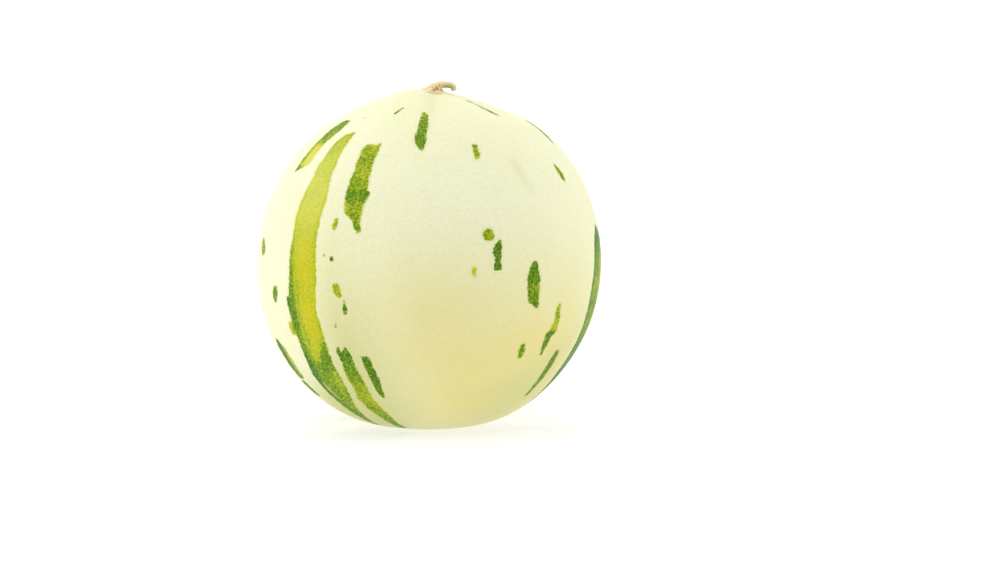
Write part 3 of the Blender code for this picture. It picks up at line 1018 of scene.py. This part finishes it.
class MelonFruitSettings(bpy.types.PropertyGroup):
    """Sizes and colours of the fruit."""

    vertices: IntProperty(
        name="Vertices a Side",
        description="Vertices along each of its six sides",
        default=126,
        min=8,
        max=128,
    )
    waviness: number_property("Waviness", "Height of the slow waves", 0.2 * MM, "LENGTH")
    edge: number_property("Edge Softness", "Rounding round the flat spot", 0.3 * MM, "LENGTH")
    cream: colour_property("Cream", "The lightest skin", "#f2f4d5")
    # Deep cream is also the painted shade that the beige strokes lay on the skin
    deep_cream: colour_property("Deep Cream", "The deepest skin", "#e9de98")
    # This colour is also the painted shade that darkens the skin low down and beside the stem's
    # foot
    flush: colour_property("Flush", "The skin where it is greenest", "#d1d193")
    deep_green: colour_property("Deep Green", "The deepest green of the marks", "#3f6f14")
    green: colour_property("Green", "The common green of the marks", "#668d10")
    lime: colour_property("Lime", "The marks where they turn yellow", "#b0b820")
    yellow: colour_property("Yellow", "The ripest yellow of the marks", "#d0c410")
    pore: colour_property("Pore", "The pale dots in the marks", "#dde276")
    tan: colour_property("Tan", "The cork that grows over the skin", "#c9b07e")


class MelonStemSettings(bpy.types.PropertyGroup):
    """Sizes and colours of the stem."""

    sides: IntProperty(
        name="Sides", description="Points round each section", default=120, min=12, max=240
    )
    steps: IntProperty(
        name="Steps", description="Sections for each station", default=9, min=2, max=20
    )
    rib_depth: number_property("Rib Depth", "As a share of the foot's half-width", 0.16)
    strand_depth: number_property("Strand Depth", "As a share of the half-width", 0.022)
    straw: colour_property("Straw", "The common colour of the stalk", "#eddfac")
    pale_straw: colour_property("Pale Straw", "The stalk's dry ridges", "#f2e6bc")
    shade: colour_property("Shade", "The stalk's furrows", "#c2a86c")
    # Olive is the tip's own colour and, on its underside, painted shade
    olive: colour_property("Olive", "The drooping end", "#9c9550")
    cork: colour_property("Cork", "The rough patches at the foot", "#c4985f")


class MelonStageSettings(bpy.types.PropertyGroup):
    """The camera and the light."""

    distance: number_property("Distance", "Camera to the fruit's middle", 1089 * MM, "LENGTH")
    elevation: number_property("Elevation", "How far it looks down", radians(5.5), "ROTATION")
    sideways: number_property("Sideways", "How far right it aims", 27.72 * MM, "LENGTH")
    upward: number_property("Upward", "How far up it aims", -6.94 * MM, "LENGTH")
    surround: number_property("Surround", "Light from all round", 1.03)
    room: number_property("Room", "Light from behind the camera", 0.36)
    ceiling: number_property("Ceiling", "Soft light from above", 0.75)
    table: number_property("Table", "Light from below the table", 0.6)
    key: number_property("Key", "The soft box on the left", 3.4, "POWER")
    fill: number_property("Fill", "The soft box on the right", 0.8, "POWER")


class MelonSettings(bpy.types.PropertyGroup):
    """All the settings of the melon."""

    fruit: PointerProperty(type=MelonFruitSettings)
    stem: PointerProperty(type=MelonStemSettings)
    stage: PointerProperty(type=MelonStageSettings)


class MELON_OT_add_fruit(bpy.types.Operator):
    """Make the fruit with its striped rind"""

    bl_idname = "melon.add_fruit"
    bl_label = "Add Fruit"
    bl_options = {"REGISTER", "UNDO"}

    def execute(self, context):
        settings = context.scene.snowball_melon.fruit
        values = {
            "Radius": RADIUS,
            "Middle Height": MIDDLE.z,
            "Vertices a Side": settings.vertices,
            "Waviness": settings.waviness,
            "Edge Softness": settings.edge,
            "Finish": waxy_rind(settings),
        }
        fruit = grow("melon_fruit", fruit_tree, values)
        paint_rind(fruit.data)
        unfold(fruit.data)
        join_root(fruit, "melon_skin", "fruit")
        return {"FINISHED"}


class MELON_OT_add_stem(bpy.types.Operator):
    """Make the dry stub of the stem"""

    bl_idname = "melon.add_stem"
    bl_label = "Add Stem"
    bl_options = {"REGISTER", "UNDO"}

    def execute(self, context):
        settings = context.scene.snowball_melon.stem
        stem = bpy.data.objects.new("melon_stem", stem_mesh(settings))
        stem.data.materials.append(dry_stalk(settings))
        context.scene.collection.objects.link(stem)
        join_root(stem, "dry_stem", "stem")
        return {"FINISHED"}


class MELON_OT_add_cork(bpy.types.Operator):
    """Scatter crumbs of cork over the foot of the stem, which is added before them"""

    bl_idname = "melon.add_cork"
    bl_label = "Add Cork"
    bl_options = {"REGISTER", "UNDO"}

    def execute(self, context):
        stem = context.scene.objects["melon_stem"]
        values = {
            "Geometry": stem.data.copy(),
            "Crumbs a Square Metre": CRUMBS_A_SQUARE_MM / MM**2,
            "Crumb Size": CRUMB_SIZE,
            "Seed": CRUMB_SEED,
            "Finish": stem.data.materials[0],
        }
        join_root(grow("stem_cork", cork_tree, values), "dry_stem")
        return {"FINISHED"}


class MELON_OT_add_strands(bpy.types.Operator):
    """Add the torn strands at the broken end of the stem, which is added before them"""

    bl_idname = "melon.add_strands"
    bl_label = "Add Torn Strands"
    bl_options = {"REGISTER", "UNDO"}

    def execute(self, context):
        stem = context.scene.objects["melon_stem"]
        tip = STEM_STATIONS[-1]
        values = {
            "Strands": TORN_STRANDS,
            "Ring Radius": STRAND_RING * tip.half_width * MM,
            "Strand Length": STRAND_LENGTH,
            "Strand Radius": STRAND_RADIUS,
            "Seed": STRAND_SEED,
            "Place": CROWN + Vector((tip.x, tip.y, tip.height + STRAND_SINK_MM)) * MM,
            "Turn": Vector((0.0, radians(tip.lean), 0.0)),
            "Finish": stem.data.materials[0],
        }
        join_root(grow("stem_strands", fibre_tree, values), "dry_stem")
        return {"FINISHED"}


class MELON_OT_add_stage(bpy.types.Operator):
    """Add the lit table, the light and the camera"""

    bl_idname = "melon.add_stage"
    bl_label = "Add Stage"
    bl_options = {"REGISTER", "UNDO"}

    def execute(self, context):
        scene = context.scene
        settings = scene.snowball_melon.stage
        bpy.ops.mesh.primitive_circle_add(
            vertices=96, radius=TABLE_RADIUS, fill_type="TRIFAN", location=(0.0, 0.0, -TABLE_DROP)
        )
        table = context.object
        table.name = "lit_table"
        table.data.materials.append(lit_table(settings))
        scene.world = white_surround(settings)
        scene.view_settings.view_transform = "Standard"

        add_soft_box("key_box", KEY_PLACE, KEY_SIZE, settings.key)
        add_soft_box("fill_box", FILL_PLACE, FILL_SIZE, settings.fill)
        ceiling = bpy.data.lights.new("ceiling", "SUN")
        ceiling.energy = settings.ceiling
        ceiling.angle = CEILING_SPREAD
        scene.collection.objects.link(bpy.data.objects.new("ceiling", ceiling))
        add_camera(settings)
        return {"FINISHED"}


class MELON_PT_melon(bpy.types.Panel):
    """Lists the melon's settings and the steps that make it"""

    bl_idname = "MELON_PT_melon"
    bl_label = "Snowball Melon"
    bl_space_type = "VIEW_3D"
    bl_region_type = "UI"
    bl_category = "Melon"

    def draw(self, context):
        settings = context.scene.snowball_melon
        for group, steps in (
            (settings.fruit, (MELON_OT_add_fruit,)),
            (settings.stem, (MELON_OT_add_stem, MELON_OT_add_cork, MELON_OT_add_strands)),
            (settings.stage, (MELON_OT_add_stage,)),
        ):
            box = self.layout.box()
            for name in group.__annotations__:
                box.prop(group, name)
            for step in steps:
                box.operator(step.bl_idname)


CLASSES = (
    MelonFruitSettings,
    MelonStemSettings,
    MelonStageSettings,
    MelonSettings,
    MELON_OT_add_fruit,
    MELON_OT_add_stem,
    MELON_OT_add_cork,
    MELON_OT_add_strands,
    MELON_OT_add_stage,
    MELON_PT_melon,
)


def register():
    for each in CLASSES:
        bpy.utils.register_class(each)
    bpy.types.Scene.snowball_melon = PointerProperty(type=MelonSettings)


def unregister():
    del bpy.types.Scene.snowball_melon
    for each in reversed(CLASSES):
        bpy.utils.unregister_class(each)


def main():
    register()
    bpy.ops.melon.add_fruit()
    bpy.ops.melon.add_stem()
    bpy.ops.melon.add_cork()
    bpy.ops.melon.add_strands()
    bpy.ops.melon.add_stage()


if __name__ == "__main__":
    main()
